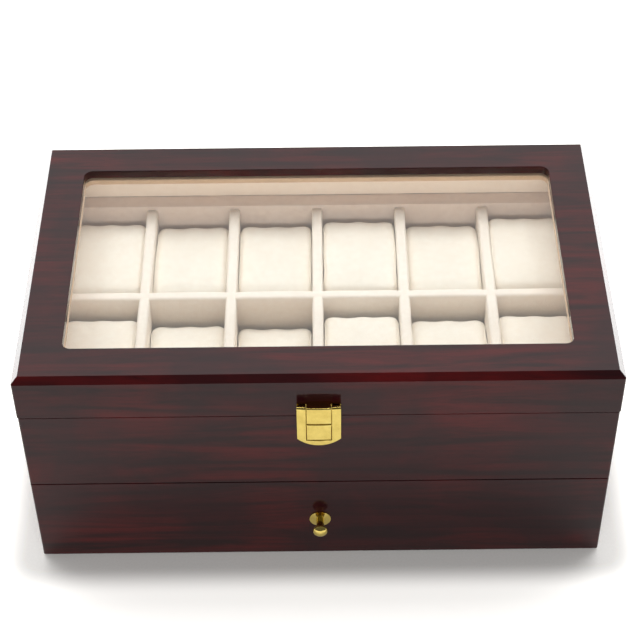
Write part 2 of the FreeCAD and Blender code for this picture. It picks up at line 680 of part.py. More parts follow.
def drawer_pillows():
    half_t = DIVIDER_T / 2
    half_w = DRAWER_CELL_HALF_W
    rear = (DRAWER_MIDDLE_Y + half_t, DRAWER_CELL_BACK_Y)
    front = (DRAWER_CELL_FRONT_Y, DRAWER_MIDDLE_Y - half_t)
    solids = []
    for y_range in (rear, front):
        solids += pillow_row(half_w, y_range, DRAWER_PAD_TOP, DRAWER_PILLOW_H, DRAWER_PILLOW_SHARES)
    return Part.makeCompound(solids)


# Knob
def turned(profile):
    """Turn a closed outline of curves, drawn as radius and distance, about the knob's axis."""
    wire = Part.Wire(profile)
    axis_point = FreeCAD.Vector(0, -HALF_D, KNOB_Z)
    return Part.Face(wire).revolve(axis_point, FreeCAD.Vector(0, 1, 0), 360)


def knob_point(radius, reach):
    return FreeCAD.Vector(radius, -HALF_D - reach, KNOB_Z)


def knob_line(start, end):
    return Part.makeLine(knob_point(*start), knob_point(*end))


def knob_arc(start, middle, end):
    return Part.Arc(knob_point(*start), knob_point(*middle), knob_point(*end)).toShape()


def knob_rosette():
    """A thin disc, domed towards the stem, with a hole for the screw."""
    hole = KNOB_SCREW_R + THREAD_CLEARANCE
    dome_start = (ROSETTE_R, ROSETTE_RIM_T)
    rise = ROSETTE_DOME_T - ROSETTE_RIM_T
    dome_middle = (ROSETTE_R * ROSETTE_BEND[0], ROSETTE_RIM_T + rise * ROSETTE_BEND[1])
    dome_end = (ROSETTE_FLAT_R, ROSETTE_DOME_T)
    profile = [
        knob_line((hole, 0), (ROSETTE_R, 0)),
        knob_line((ROSETTE_R, 0), dome_start),
        knob_arc(dome_start, dome_middle, dome_end),
        knob_line(dome_end, (hole, ROSETTE_DOME_T)),
        knob_line((hole, ROSETTE_DOME_T), (hole, 0)),
    ]
    return turned(profile)


def knob():
    """Stem and domed head, turned in one piece, with a threaded hole from behind."""
    low = ROSETTE_DOME_T
    rim = KNOB_REACH - HEAD_DOME_T
    rear = rim - HEAD_RIM_R
    lean = HEAD_RIM_R * (1 - math.sqrt(0.5))
    shoulder = head_point(rim, HEAD_SHOULDER_DEG)
    shoulder_bend = head_point(rim, HEAD_SHOULDER_DEG / 2)
    crown = (0, KNOB_REACH)
    hole = KNOB_SCREW_R + THREAD_CLEARANCE
    hole_end = low + KNOB_SCREW_GRIP + THREAD_CLEARANCE
    profile = [
        knob_line((hole, low), (STEM_R, low)),
        knob_line((STEM_R, low), (STEM_R, rear)),
        knob_line((STEM_R, rear), (HEAD_R - HEAD_RIM_R, rear)),
        knob_arc((HEAD_R - HEAD_RIM_R, rear), (HEAD_R - lean, rear + lean), (HEAD_R, rim)),
        knob_arc((HEAD_R, rim), shoulder_bend, shoulder),
        knob_arc(shoulder, cap_middle(shoulder, crown), crown),
        knob_line(crown, (0, hole_end)),
        knob_line((0, hole_end), (hole, hole_end)),
        knob_line((hole, hole_end), (hole, low)),
    ]
    return turned(profile)


def head_point(rim, degrees):
    """A point on the head's round side, which is part of an ellipse."""
    turn = math.radians(degrees)
    return (HEAD_R * math.cos(turn), rim + HEAD_DOME_T * math.sin(turn))


def cap_middle(edge, crown):
    """A point halfway along the arc that runs from an edge to the crown and is centred on the axis."""
    rise = crown[1] - edge[1]
    radius = (edge[0] ** 2 + rise ** 2) / (2 * rise)
    half_turn = math.asin(edge[0] / radius) / 2
    return (radius * math.sin(half_turn), crown[1] - radius * (1 - math.cos(half_turn)))


def knob_screw_head(extra=0.0):
    """The head lies in a pocket of the drawer front's inner face."""
    start = (0, DRAWER_FRONT_Y - KNOB_SCREW_HEAD_T - extra, KNOB_Z)
    return rod(KNOB_SCREW_HEAD_R + extra, start, (0, 1, 0), KNOB_SCREW_HEAD_T + extra)


def knob_screw():
    length = WALL_T - KNOB_SCREW_HEAD_T + ROSETTE_DOME_T + KNOB_SCREW_GRIP
    start = (0, DRAWER_FRONT_Y - KNOB_SCREW_HEAD_T, KNOB_Z)
    return knob_screw_head().fuse(rod(KNOB_SCREW_R, start, (0, -1, 0), length))


# Latch: a plate with a raised block on each side of the seam, and a flap that hangs round both
def latch_form(outline_face):
    """Extrude an outline forwards and bound it by the latch's gently bulging front."""
    rough = outline_face.extrude(FreeCAD.Vector(0, -LATCH_PROUD - OVERCUT, 0))
    low = outline_face.BoundBox.ZMin - OVERCUT
    height = outline_face.BoundBox.ZLength + 2 * OVERCUT
    front = rod(LATCH_BULGE_R, (0, LATCH_FRONT_Y + LATCH_BULGE_R, low), (0, 0, 1), height)
    return rough.common(front)


def block_body(face_y, z_range):
    """A raised block on a face, with eased front edges."""
    half = BLOCK_W / 2
    corners = [(-half, z_range[0]), (half, z_range[0]), (half, z_range[1]), (-half, z_range[1])]
    outline = Part.makePolygon([FreeCAD.Vector(x, face_y, z) for x, z in corners + corners[:1]])
    return eased_latch_front(latch_form(Part.Face(outline)), z_range[1], BLOCK_TOP_R)


def eased_latch_front(body, top, top_r):
    """The front's upper edges are well rounded, and its other edges are eased."""
    front = LATCH_FRONT_Y + LATCH_BULGE
    body = eased(body, top_r, lambda p: p.y < front and near(p.z, top))
    return eased(body, LATCH_EDGE_R, lambda p: p.y < front and p.z < top - top_r)


def latch_part(face_y, block_z, plate_z, screw_z):
    plate = block(span(LATCH_W / 2), (face_y - LATCH_PLATE_T, face_y), plate_z)
    part = plate.fuse(block_body(face_y, block_z))
    for place in latch_screw_places(screw_z, face_y):
        part = part.cut(screw(place, (0, 1, 0), THREAD_CLEARANCE))
    return part.removeSplitter()


def latch_catch():
    plate_z = (CATCH_BLOCK_BOTTOM + LATCH_PLATE_DROP, LID_BLOCK_BOTTOM - PLATE_GAP)
    return latch_part(-HALF_D, (CATCH_BLOCK_BOTTOM, CATCH_BLOCK_TOP), plate_z, LID_SEAM - LATCH_SCREW_INSET)


def latch_plate():
    plate_z = (LID_BOTTOM + PLATE_GAP, LID_BLOCK_TOP - LATCH_PLATE_DROP)
    part = latch_part(-LID_HALF_D, (LID_BLOCK_BOTTOM, LID_BLOCK_TOP), plate_z, LID_SEAM + LATCH_SCREW_INSET)
    return part.cut(latch_rod(LATCH_PIN_R + RUNNING_CLEARANCE, BLOCK_W / 2 + OVERCUT))


def latch_rod(radius, half_length):
    return rod(radius, (-half_length, LATCH_PIN_Y, LATCH_PIN_Z), (1, 0, 0), 2 * half_length)


def latch_pin():
    return latch_rod(LATCH_PIN_R, BLOCK_W / 2 + FLAP_SIDE_GAP + LATCH_PIN_BITE)


def latch_flap():
    """Two bars beside the blocks, joined by a band with a curved bottom under the catch."""
    half = LATCH_W / 2
    slot = BLOCK_W / 2 + FLAP_SIDE_GAP
    top = LID_BLOCK_TOP + FLAP_EAR_RISE
    band_top = CATCH_BLOCK_BOTTOM - FLAP_LOWER_GAP
    bottom = band_top - FLAP_BAND_H
    side_z = bottom + FLAP_BOTTOM_RISE
    back_y = LATCH_FRONT_Y + FLAP_T

    def at(x, z):
        return FreeCAD.Vector(x, back_y, z)

    corners = [(half, side_z), (half, top), (slot, top), (slot, band_top)]
    corners += [(-slot, band_top), (-slot, top), (-half, top), (-half, side_z)]
    edges = [Part.makeLine(at(*start), at(*end)) for start, end in zip(corners[:-1], corners[1:])]
    edges.append(Part.Arc(at(-half, side_z), at(0, bottom), at(half, side_z)).toShape())
    body = eased_latch_front(latch_form(Part.Face(Part.Wire(edges))), top, FLAP_EAR_TOP_R)
    return body.cut(latch_pin())


# Every node, by name
def sub_parts():
    parts = {
        "case_front_rail": case_front_rail(),
        "case_left_side": case_side(-1),
        "case_right_side": case_side(1),
        "case_back": case_back(),
        "case_base": case_base(),
        "base_felt": base_felt(),
        "tray_floor": tray_floor(),
        "tray_floor_pad": tray_floor_pad(),
        "tray_liner_front": tray_end_liner(-1),
        "tray_liner_back": tray_end_liner(1),
        "tray_liner_left": tray_side_liner(-1),
        "tray_liner_right": tray_side_liner(1),
        "tray_long_divider": tray_long_divider(),
        "tray_cross_dividers": tray_cross_dividers(),
        "hinge_left_case_leaf": hinge_leaf(-HINGE_X, CASE_TOP, -1, False),
        "hinge_right_case_leaf": hinge_leaf(HINGE_X, CASE_TOP, -1, False),
        "hinge_left_pin": hinge_pin(-HINGE_X),
        "hinge_right_pin": hinge_pin(HINGE_X),
        "latch_catch": latch_catch(),
        "case_screws": case_screws(),
        "lid_top": lid_top(),
        "lid_front_rail": lid_front_rail(),
        "lid_back_rail": lid_back_rail(),
        "lid_left_rail": lid_side_rail(-1),
        "lid_right_rail": lid_side_rail(1),
        "lid_glass": lid_glass(),
        "lid_glass_retainer": lid_glass_retainer(),
        "lid_lining": lid_lining(),
        "hinge_left_lid_leaf": hinge_leaf(-HINGE_X, LID_BOTTOM, 1, True),
        "hinge_right_lid_leaf": hinge_leaf(HINGE_X, LID_BOTTOM, 1, True),
        "latch_plate": latch_plate(),
        "lid_screws": lid_screws(),
        "latch_flap": latch_flap(),
        "latch_pin": latch_pin(),
        "drawer_front": drawer_front(),
        "drawer_left_side": drawer_side(-1),
        "drawer_right_side": drawer_side(1),
        "drawer_back": drawer_back(),
        "drawer_bottom": drawer_bottom(),
        "drawer_floor_pad": drawer_floor_pad(),
        "drawer_lining": drawer_lining(),
        "drawer_long_divider": drawer_long_divider(),
        "drawer_cross_dividers": drawer_cross_dividers(),
        "drawer_pillows": drawer_pillows(),
        "knob_rosette": knob_rosette(),
        "knob": knob(),
        "knob_screw": knob_screw(),
    }
    parts.update(tray_pillows())
    return parts


os.makedirs("parts", exist_ok=True)
for name, shape in sub_parts().items():
    shape.exportStep("parts/%s.step" % name)
    print("%-24s %2d solid(s) %10.1f mm3 %s" % (name, len(shape.Solids), shape.Volume, shape.isValid()))
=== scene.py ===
import json
import math

import bmesh
import bpy
from mathutils import Matrix, Vector, noise
from mathutils.bvhtree import BVHTree


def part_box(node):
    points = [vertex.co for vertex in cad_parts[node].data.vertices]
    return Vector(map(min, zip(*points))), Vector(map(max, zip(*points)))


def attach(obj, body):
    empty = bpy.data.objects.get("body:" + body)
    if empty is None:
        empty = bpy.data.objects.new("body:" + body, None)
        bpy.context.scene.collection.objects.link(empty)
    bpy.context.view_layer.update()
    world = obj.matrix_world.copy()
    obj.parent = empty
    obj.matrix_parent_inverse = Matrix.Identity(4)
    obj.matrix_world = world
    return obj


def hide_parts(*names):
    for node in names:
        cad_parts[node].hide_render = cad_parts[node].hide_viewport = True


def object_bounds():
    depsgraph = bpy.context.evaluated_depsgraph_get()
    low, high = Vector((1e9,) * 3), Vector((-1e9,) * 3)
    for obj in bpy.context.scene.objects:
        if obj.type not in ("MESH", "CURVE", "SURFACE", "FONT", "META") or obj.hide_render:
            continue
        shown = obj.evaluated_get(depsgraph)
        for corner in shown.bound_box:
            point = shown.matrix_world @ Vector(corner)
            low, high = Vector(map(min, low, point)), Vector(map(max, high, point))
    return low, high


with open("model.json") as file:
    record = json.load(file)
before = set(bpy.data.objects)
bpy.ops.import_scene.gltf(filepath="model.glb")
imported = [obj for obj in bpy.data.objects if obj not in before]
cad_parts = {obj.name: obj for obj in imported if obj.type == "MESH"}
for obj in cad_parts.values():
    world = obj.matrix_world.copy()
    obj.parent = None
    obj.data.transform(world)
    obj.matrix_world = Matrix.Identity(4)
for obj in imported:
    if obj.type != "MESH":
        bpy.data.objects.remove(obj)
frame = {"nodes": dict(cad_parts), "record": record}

# Watch box with a glazed lid, an upper tray and a drawer. Metres, in the frame's own axes.
CAD_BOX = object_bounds()
MM = 0.001
AXES = range(3)
SCENE = bpy.context.scene
NODES = frame["nodes"]
RECORD = frame["record"]
BODY_OF = {node: body for body, nodes in RECORD["behaviour"]["bodies"].items() for node in nodes}
SLOT_OF = {entry["node"]: entry["material_slot"] for entry in RECORD["subparts"]}


def add_object(name, data):
    new = bpy.data.objects.new(name, data)
    SCENE.collection.objects.link(new)
    return new


# Camera, as fitted to the corners of the box in the photograph
CAMERA_TARGET = Vector((0.0, 0.0, 81.0)) * MM
CAMERA_AZIMUTH = math.radians(0.06)
CAMERA_ELEVATION = math.radians(44.99)
CAMERA_ROLL = math.radians(-0.67)
CAMERA_DISTANCE = 1096.01 * MM
CAMERA_SLIDE = (-1.01 * MM, -13.95 * MM)  # how far the target lies from the line of sight
CAMERA_LENS = 99.03  # in the same unit as the sensor's width
SENSOR_WIDTH = 36.0
CAMERA_NEAREST = 50.0 * MM


def make_camera():
    back = Vector((
        math.sin(CAMERA_AZIMUTH) * math.cos(CAMERA_ELEVATION),
        -math.cos(CAMERA_AZIMUTH) * math.cos(CAMERA_ELEVATION),
        math.sin(CAMERA_ELEVATION),
    ))
    level_right = Vector((math.cos(CAMERA_AZIMUTH), math.sin(CAMERA_AZIMUTH), 0.0))
    level_up = back.cross(level_right)
    right = math.cos(CAMERA_ROLL) * level_right + math.sin(CAMERA_ROLL) * level_up
    up = math.cos(CAMERA_ROLL) * level_up - math.sin(CAMERA_ROLL) * level_right
    place = CAMERA_TARGET + back * CAMERA_DISTANCE - right * CAMERA_SLIDE[0] - up * CAMERA_SLIDE[1]
    camera = add_object("camera", bpy.data.cameras.new("camera"))
    camera.data.lens = CAMERA_LENS
    camera.data.sensor_width = SENSOR_WIDTH
    camera.data.clip_start = CAMERA_NEAREST
    camera.matrix_world = Matrix.Translation(place) @ Matrix((right, up, back)).transposed().to_4x4()
    SCENE.camera = camera


# Materials
class Shader:
    """The nodes of a material or a world, as nested calls. An input takes a socket or a constant."""

    def __init__(self, owner):
        self.owner = owner
        self.owner.use_nodes = True
        self.tree = owner.node_tree
        self.tree.nodes.clear()
        self.coordinates = self.add("ShaderNodeTexCoord").outputs
        self.place = self.coordinates["Object"]

    def add(self, kind, inputs=None, **settings):
        node = self.tree.nodes.new(kind)
        for key, value in settings.items():
            setattr(node, key, value)
        for key, value in (inputs or {}).items():
            if isinstance(value, bpy.types.NodeSocket):
                self.tree.links.new(value, node.inputs[key])
            else:
                node.inputs[key].default_value = value
        return node

    def math(self, operation, first, second=0.0):
        return self.add("ShaderNodeMath", {0: first, 1: second}, operation=operation).outputs[0]

    def stretched(self, scale):
        """The place on the piece, scaled by a different number along each axis."""
        return self.add("ShaderNodeMapping", {"Vector": self.place, "Scale": scale}).outputs[0]

    def noise(self, scale, detail, roughness, where=None, distortion=0.0):
        inputs = {"Vector": where or self.place, "Scale": scale, "Detail": detail}
        inputs.update({"Roughness": roughness, "Distortion": distortion})
        return self.add("ShaderNodeTexNoise", inputs).outputs["Fac"]

    def span(self, value, low, high, to_low=0.0, to_high=1.0, course="LINEAR"):
        """From to_low to to_high, as the value goes from low to high."""
        inputs = {"Value": value, "From Min": low, "From Max": high, "To Min": to_low, "To Max": to_high}
        return self.add("ShaderNodeMapRange", inputs, interpolation_type=course).outputs[0]

    def stained(self, tint, stain, value, low, high, most=1.0):
        """The tint, turning to the stain by up to the share given, as the value goes from low to high."""
        inputs = {"Factor": self.span(value, low, high, 0.0, most), 6: tint, 7: stain}
        return self.add("ShaderNodeMix", inputs, data_type="RGBA").outputs[2]

    def bump(self, height, distance, strength=1.0):
        inputs = {"Height": height, "Distance": distance, "Strength": strength}
        return self.add("ShaderNodeBump", inputs).outputs[0]

    def surface(self, shader, output="ShaderNodeOutputMaterial"):
        self.add(output, {"Surface": shader})
        return self.owner

    def principled(self, **inputs):
        named = {key.replace("_", " "): value for key, value in inputs.items()}
        return self.surface(self.add("ShaderNodeBsdfPrincipled", named).outputs[0])


def new_shader(name):
    return Shader(bpy.data.materials.new(name))


def colour(red, green, blue):
    """A linear colour from the 0 to 255 values that it shows."""
    def linear(value):
        share = value / 255.0
        return share / 12.92 if share <= 0.04045 else ((share + 0.055) / 1.055) ** 2.4
    return (linear(red), linear(green), linear(blue), 1.0)


# How the wood's pattern is scaled along each axis: the streaks are drawn out along the grain
ALONG_X = (1.0, 12.0, 12.0)
ALONG_Y = (12.0, 1.0, 12.0)
WOOD_DARK = colour(36, 9, 11)
WOOD_RED = colour(76, 14, 15)
WOOD_CLOUD = colour(32, 12, 15)
WOOD_LINE = colour(30, 8, 10)
WOOD_PORE = colour(22, 7, 9)
ROUGHNESS_SWING = 0.14


def wood(name, grain, coat, roughness):
    """Dark red-brown stained wood: clouds, streaks, lines along the grain and fine pores, under lacquer."""
    shader = new_shader(name)
    along = shader.stretched(grain)
    clouds = shader.noise(scale=11.0, detail=3.0, roughness=0.55, distortion=0.5)
    streaks = shader.noise(scale=9.0, detail=5.0, roughness=0.6, where=along, distortion=0.8)
    lines = shader.noise(scale=70.0, detail=4.0, roughness=0.6, where=along)
    pores = shader.noise(scale=240.0, detail=2.0, roughness=0.5, where=along)
    tint = shader.stained(WOOD_DARK, WOOD_RED, streaks, 0.36, 0.64)
    tint = shader.stained(tint, WOOD_CLOUD, clouds, 0.42, 0.60, most=0.7)
    tint = shader.stained(tint, WOOD_LINE, lines, 0.42, 0.72, most=0.3)
    tint = shader.stained(tint, WOOD_PORE, pores, 0.60, 0.74, most=0.4)
    waves = shader.noise(scale=14.0, detail=2.0, roughness=0.5)
    height = shader.math("ADD", waves, shader.math("MULTIPLY", streaks, 0.05))
    return shader.principled(
        Base_Color=tint,
        Roughness=shader.span(lines, 0.3, 0.7, roughness, roughness + ROUGHNESS_SWING),
        Specular_IOR_Level=0.06,
        Coat_Weight=coat,
        Coat_Roughness=0.045,
        Coat_IOR=1.30,
        Coat_Normal=shader.bump(height, distance=0.12 * MM),
    )


def velvet(name, base, shade):
    """Short pile: mottled nap, a soft sheen and a grain of fibres."""
    shader = new_shader(name)
    nap = shader.noise(scale=260.0, detail=4.0, roughness=0.6)
    drift = shader.noise(scale=30.0, detail=3.0, roughness=0.5)
    fibres = shader.noise(scale=2600.0, detail=2.0, roughness=0.7)
    tint = shader.stained(base, shade, nap, 0.35, 0.68, most=0.55)
    tint = shader.stained(tint, shade, drift, 0.4, 0.7, most=0.35)
    tint = shader.stained(tint, shade, fibres, 0.45, 0.75, most=0.25)
    height = shader.math("ADD", shader.math("MULTIPLY", nap, 0.7), shader.math("MULTIPLY", fibres, 0.5))
    return shader.principled(
        Base_Color=tint,
        Roughness=0.95,
        Specular_IOR_Level=0.1,
        Sheen_Weight=0.25,
        Sheen_Roughness=0.5,
        Sheen_Tint=(1.0, 0.96, 0.9, 1.0),
        Normal=shader.bump(height, distance=0.35 * MM, strength=0.8),
    )


def gold(name):
    """Polished pale gold plate with faint polishing marks and a thin film of handling."""
    shader = new_shader(name)
    marks = shader.noise(scale=900.0, detail=3.0, roughness=0.6, where=shader.stretched((0.15, 1.0, 1.0)))
    film = shader.noise(scale=180.0, detail=3.0, roughness=0.6)
    return shader.principled(
        Base_Color=shader.stained(colour(236, 212, 120), colour(222, 196, 106), film, 0.35, 0.7),
        Metallic=1.0,
        Roughness=shader.span(film, 0.3, 0.75, 0.12, 0.18),
        Normal=shader.bump(marks, distance=0.01 * MM, strength=0.4),
    )


def felt(name):
    """Dark, matted felt."""
    shader = new_shader(name)
    clumps = shader.noise(scale=500.0, detail=4.0, roughness=0.65)
    fibres = shader.noise(scale=3200.0, detail=2.0, roughness=0.7)
    return shader.principled(
        Base_Color=shader.stained(colour(44, 34, 34), colour(70, 56, 54), clumps, 0.35, 0.7),
        Roughness=1.0,
        Specular_IOR_Level=0.05,
        Sheen_Weight=0.3,
        Normal=shader.bump(shader.math("ADD", clumps, fibres), distance=0.4 * MM),
    )


GLASS_TINT = (0.985, 0.992, 0.988, 1.0)
GLASS_IOR = 1.45
GLASS_FACES = 1.8  # how much more the pane mirrors with both its faces than with one


def pane(name):
    """Clear glass that lets light straight through and mirrors by its angle."""
    shader = new_shader(name)
    smears = shader.noise(scale=22.0, detail=4.0, roughness=0.6)
    clear = shader.add("ShaderNodeBsdfTransparent", {"Color": GLASS_TINT}).outputs[0]
    polish = shader.span(smears, 0.4, 0.8, 0.0, 0.04)
    mirror = shader.add("ShaderNodeBsdfGlossy", {"Roughness": polish}).outputs[0]
    outside = shader.math("SUBTRACT", 1.0, shader.add("ShaderNodeNewGeometry").outputs["Backfacing"])
    by_angle = shader.add("ShaderNodeFresnel", {"IOR": GLASS_IOR}).outputs[0]
    share = shader.math("MULTIPLY", shader.math("MULTIPLY", by_angle, GLASS_FACES), outside)
    return shader.surface(shader.add("ShaderNodeMixShader", {0: share, 1: clear, 2: mirror}).outputs[0])


# The looks of the record's slots. Wood comes in two directions, and interior velvet in four shades: the
# fabric's own colour, and three copies with painted shade for the tray's liners, the lid lining and the
# glass retainer
MATERIALS = {
    "lacquered_wood_x": wood("lacquered_wood_along_x", ALONG_X, coat=1.0, roughness=0.30),
    "lacquered_wood_y": wood("lacquered_wood_along_y", ALONG_Y, coat=1.0, roughness=0.30),
    "inner_wood_x": wood("inner_wood_along_x", ALONG_X, coat=0.25, roughness=0.45),
    "inner_wood_y": wood("inner_wood_along_y", ALONG_Y, coat=0.25, roughness=0.45),
    "interior_velvet": velvet("interior_velvet", colour(254, 245, 234), colour(247, 234, 220)),
    # Painted shade: a darker copy of the interior velvet for the tray's liners, standing in for the shadow
    # of the lid
    "wall_velvet": velvet("tray_wall_velvet", colour(236, 216, 200), colour(222, 198, 180)),
    # Painted shade: a warmer, tan copy of the interior velvet for the lid lining, standing in for shade and
    # warm bounce from the wood
    "lid_velvet": velvet("lid_velvet", colour(254, 238, 220), colour(246, 226, 205)),
    # Painted shade: a darker, orange-tan copy of the interior velvet for the glass retainer, which lies in
    # shade under the window's wooden lip
    "retainer_velvet": velvet("retainer_velvet", colour(240, 212, 185), colour(226, 194, 164)),
    "pillow_velvet": velvet("pillow_velvet", colour(253, 246, 234), colour(246, 235, 220)),
    "polished_brass": gold("polished_brass"),
    "base_felt": felt("base_felt"),
    "clear_glass": pane("clear_glass"),
}
GRAIN_Y_NODES = (
    "case_left_side", "case_right_side", "lid_left_rail", "lid_right_rail",
    "drawer_left_side", "drawer_right_side",
)


def paint(piece, material):
    piece.data.materials.clear()
    piece.data.materials.append(MATERIALS[material])


def dress_frame():
    for name, node in NODES.items():
        material = SLOT_OF[name]
        if material.endswith("wood"):
            material += "_y" if name in GRAIN_Y_NODES else "_x"
        paint(node, material)


# Mesh helpers
WELD = 0.001 * MM  # points of a CAD mesh that are closer than this are one
BEND_DEGREES = (45, 30, 15)  # where a rounded edge has its loops
MOST_ROUND = 0.45  # the largest rounding, as a share of a board's thickness
ORDER_DIGITS = 4  # solids are put in order by their places to 0.1 mm
SEED_SHIFT = (7.31, 3.17, 5.03)  # how far the noise moves from one seed to the next


def stand_for(piece, node, material):
    """Dress a piece that takes a CAD node's place and rides with it."""
    paint(piece, material)
    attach(piece, BODY_OF[node])
    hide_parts(node)


def finished(mesh, name):
    """The bmesh as mesh data. The bmesh itself is freed."""
    data = bpy.data.meshes.new(name)
    mesh.to_mesh(data)
    mesh.free()
    return data


def smooth(data):
    data.polygons.foreach_set("use_smooth", [True] * len(data.polygons))


def apply_modifiers(piece):
    old = piece.data
    data = bpy.data.meshes.new_from_object(piece.evaluated_get(bpy.context.evaluated_depsgraph_get()))
    piece.modifiers.clear()
    piece.data = data
    bpy.data.meshes.remove(old)


def places_along(low, high, radius, step):
    """Places for a rounded board's edge loops: in the bends at even angles, then evenly spaced."""
    bend = [radius * (1.0 - math.tan(math.radians(angle))) for angle in BEND_DEGREES] if radius else []
    inner = high - low - 2.0 * radius
    count = max(1, round(inner / step))
    middle = [low + radius + inner * number / count for number in range(count + 1)]
    return [low + inset for inset in bend] + middle + [high - inset for inset in reversed(bend)]


def rounded_board(name, box, radius, step, square=None):
    """A closed board with rounded edges, in even four-sided faces. Along a square axis it ends flat."""
    low, high = box
    radius = min([radius] + [MOST_ROUND * (high[axis] - low[axis]) for axis in AXES])
    radii = [0.0 if axis == square else radius for axis in AXES]
    rows = [places_along(low[axis], high[axis], radii[axis], step) for axis in AXES]
    last = [len(row) - 1 for row in rows]
    core = [(low[axis] + radii[axis], high[axis] - radii[axis]) for axis in AXES]
    mesh = bmesh.new()
    corners = {}

    def corner(index):
        """The vertex at one place of the grid, which is drawn in where the board is rounded."""
        if index not in corners:
            spot = Vector([rows[axis][index[axis]] for axis in AXES])
            middle = Vector([min(max(spot[axis], core[axis][0]), core[axis][1]) for axis in AXES])
            out = spot - middle
            corners[index] = mesh.verts.new(middle + out.normalized() * max(map(abs, out)))
        return corners[index]

    for axis in AXES:
        across, along = (axis + 1) % 3, (axis + 2) % 3
        for end in (0, last[axis]):
            for column in range(last[across]):
                for row in range(last[along]):
                    ring = []
                    for right, up in ((0, 0), (1, 0), (1, 1), (0, 1)):
                        index = [end] * 3
                        index[across], index[along] = column + right, row + up
                        ring.append(corner(tuple(index)))
                    mesh.faces.new(ring if end else reversed(ring))
    data = finished(mesh, name)
    smooth(data)
    return data


def welded(node):
    """A CAD node's mesh, as a bmesh in which neighbouring faces share their points."""
    mesh = bmesh.new()
    mesh.from_mesh(NODES[node].data)
    bmesh.ops.remove_doubles(mesh, verts=mesh.verts, dist=WELD)
    return mesh


def face_groups(mesh):
    """The faces of each solid. Where solids touch, an edge has more than two faces and isn't crossed."""
    left = dict.fromkeys(mesh.faces)
    groups = []
    while left:
        group = [next(iter(left))]
        del left[group[0]]
        for face in group:
            for edge in face.edges:
                for other in edge.link_faces if len(edge.link_faces) == 2 else ():
                    if other in left:
                        del left[other]
                        group.append(other)
        groups.append(group)
    return groups


def separate_solids(node):
    """Each solid of a CAD node: its points, faces and box, from front to back and left to right."""
    mesh = welded(node)
    solids = []
    for group in face_groups(mesh):
        index = {}
        for face in group:
            for vertex in face.verts:
                index.setdefault(vertex, len(index))
        points = [vertex.co.copy() for vertex in index]
        faces = [[index[vertex] for vertex in face.verts] for face in group]
        low = Vector([min(point[axis] for point in points) for axis in AXES])
        high = Vector([max(point[axis] for point in points) for axis in AXES])
        solids.append({"points": points, "faces": faces, "box": (low, high)})
    mesh.free()

    def order(solid):
        low = solid["box"][0]
        return round(low.y, ORDER_DIGITS), round(low.x, ORDER_DIGITS)
    return sorted(solids, key=order)


def swings(data, size, seed):
    """Each vertex with its normal and a smooth random number from -1 to 1."""
    shift = Vector([seed * share for share in SEED_SHIFT])
    normals = [normal.vector.copy() for normal in data.vertex_normals]
    pairs = zip(data.vertices, normals)
    return [(vertex, normal, noise.noise(vertex.co / size + shift)) for vertex, normal in pairs]


# Covered boards: liners, linings, dividers and pads
BOARD_STEP = 4.0 * MM
RUFFLE_DEPTH = 0.12 * MM
RUFFLE_SIZE = 14.0 * MM
COVER_EASE = 0.7 * MM  # the rounding of a cover's edges
THIN_EASE = 0.35 * MM  # the same, of thin lining boards and pads
LINING_PILE = 0.35 * MM  # how far the lid lining's pile hangs towards the case
LONG_DIVIDER_SEED = 1
CROSS_DIVIDER_SEED = 2  # of the first, and each further board has the next number
LINER_SEED = 20
LINING_SEED = 30
PAD_SEED = 40


def ruffle(data, seed, square):
    """Draw each vertex in by a smooth random depth, so that a covered board looks hand-wrapped."""
    for vertex, normal, share in swings(data, RUFFLE_SIZE, seed):
        if square is not None:
            normal[square] = 0.0
        vertex.co += normal * (RUFFLE_DEPTH * (share - 1.0))


def covered_board(name, node, box, radius, material, seed, square=None, shape=None):
    data = rounded_board(name, box, radius, BOARD_STEP, square)
    if shape:
        for vertex in data.vertices:
            vertex.co = shape(vertex.co.copy())
    ruffle(data, seed, square)
    piece = add_object(name, data)
    stand_for(piece, node, material)
    return piece


def longest_axis(box):
    size = box[1] - box[0]
    return 0 if size.x > size.y else 1


def make_liners():
    for seed, side in enumerate(("front", "back", "left", "right"), LINER_SEED):
        node = "tray_liner_" + side
        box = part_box(node)
        # The liners' covers, walls and tops alike, take the darker velvet with painted shade
        covered_board(node + "_cover", node, box, COVER_EASE, "wall_velvet", seed, longest_axis(box))


def make_lining(node, material, pile=0.0):
    for number, solid in enumerate(separate_solids(node)):
        low, high = solid["box"]
        box = (low - Vector((0.0, 0.0, pile)), high)
        name = "%s_%d_cover" % (node, number + 1)
        covered_board(name, node, box, THIN_EASE, material, LINING_SEED + number, longest_axis(box))


def make_pads():
    for seed, node in enumerate(("tray_floor_pad", "drawer_floor_pad"), PAD_SEED):
        piece = covered_board(node + "_cover", node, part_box(node), THIN_EASE, "interior_velvet", seed)


DIVIDER_ROUND = 0.55  # the roundness of a divider's edges, as a share of half its thickness
PUCKER_DEPTH = 0.35 * MM
PUCKER_REACH = 2.6 * MM
PUCKER_PINCH = 0.2 * MM
PUCKER_FADE = 9.0 * MM  # below a divider's top


def puckered(creases, axis, box):
    """A function that draws a divider's covering in at its creases, which lie beside each crossing."""
    other = 1 - axis
    top = box[1].z
    centre = (box[0][other] + box[1][other]) / 2

    def shape(point):
        near_top = max(0.0, 1.0 - (top - point.z) / PUCKER_FADE)
        for crease in creases:
            pull = math.exp(-((point[axis] - crease) / PUCKER_REACH) ** 2) * near_top
            point.z -= PUCKER_DEPTH * pull
            side = point[other] - centre
            point[other] -= math.copysign(min(abs(side), PUCKER_PINCH * pull), side)
        return point
    return shape


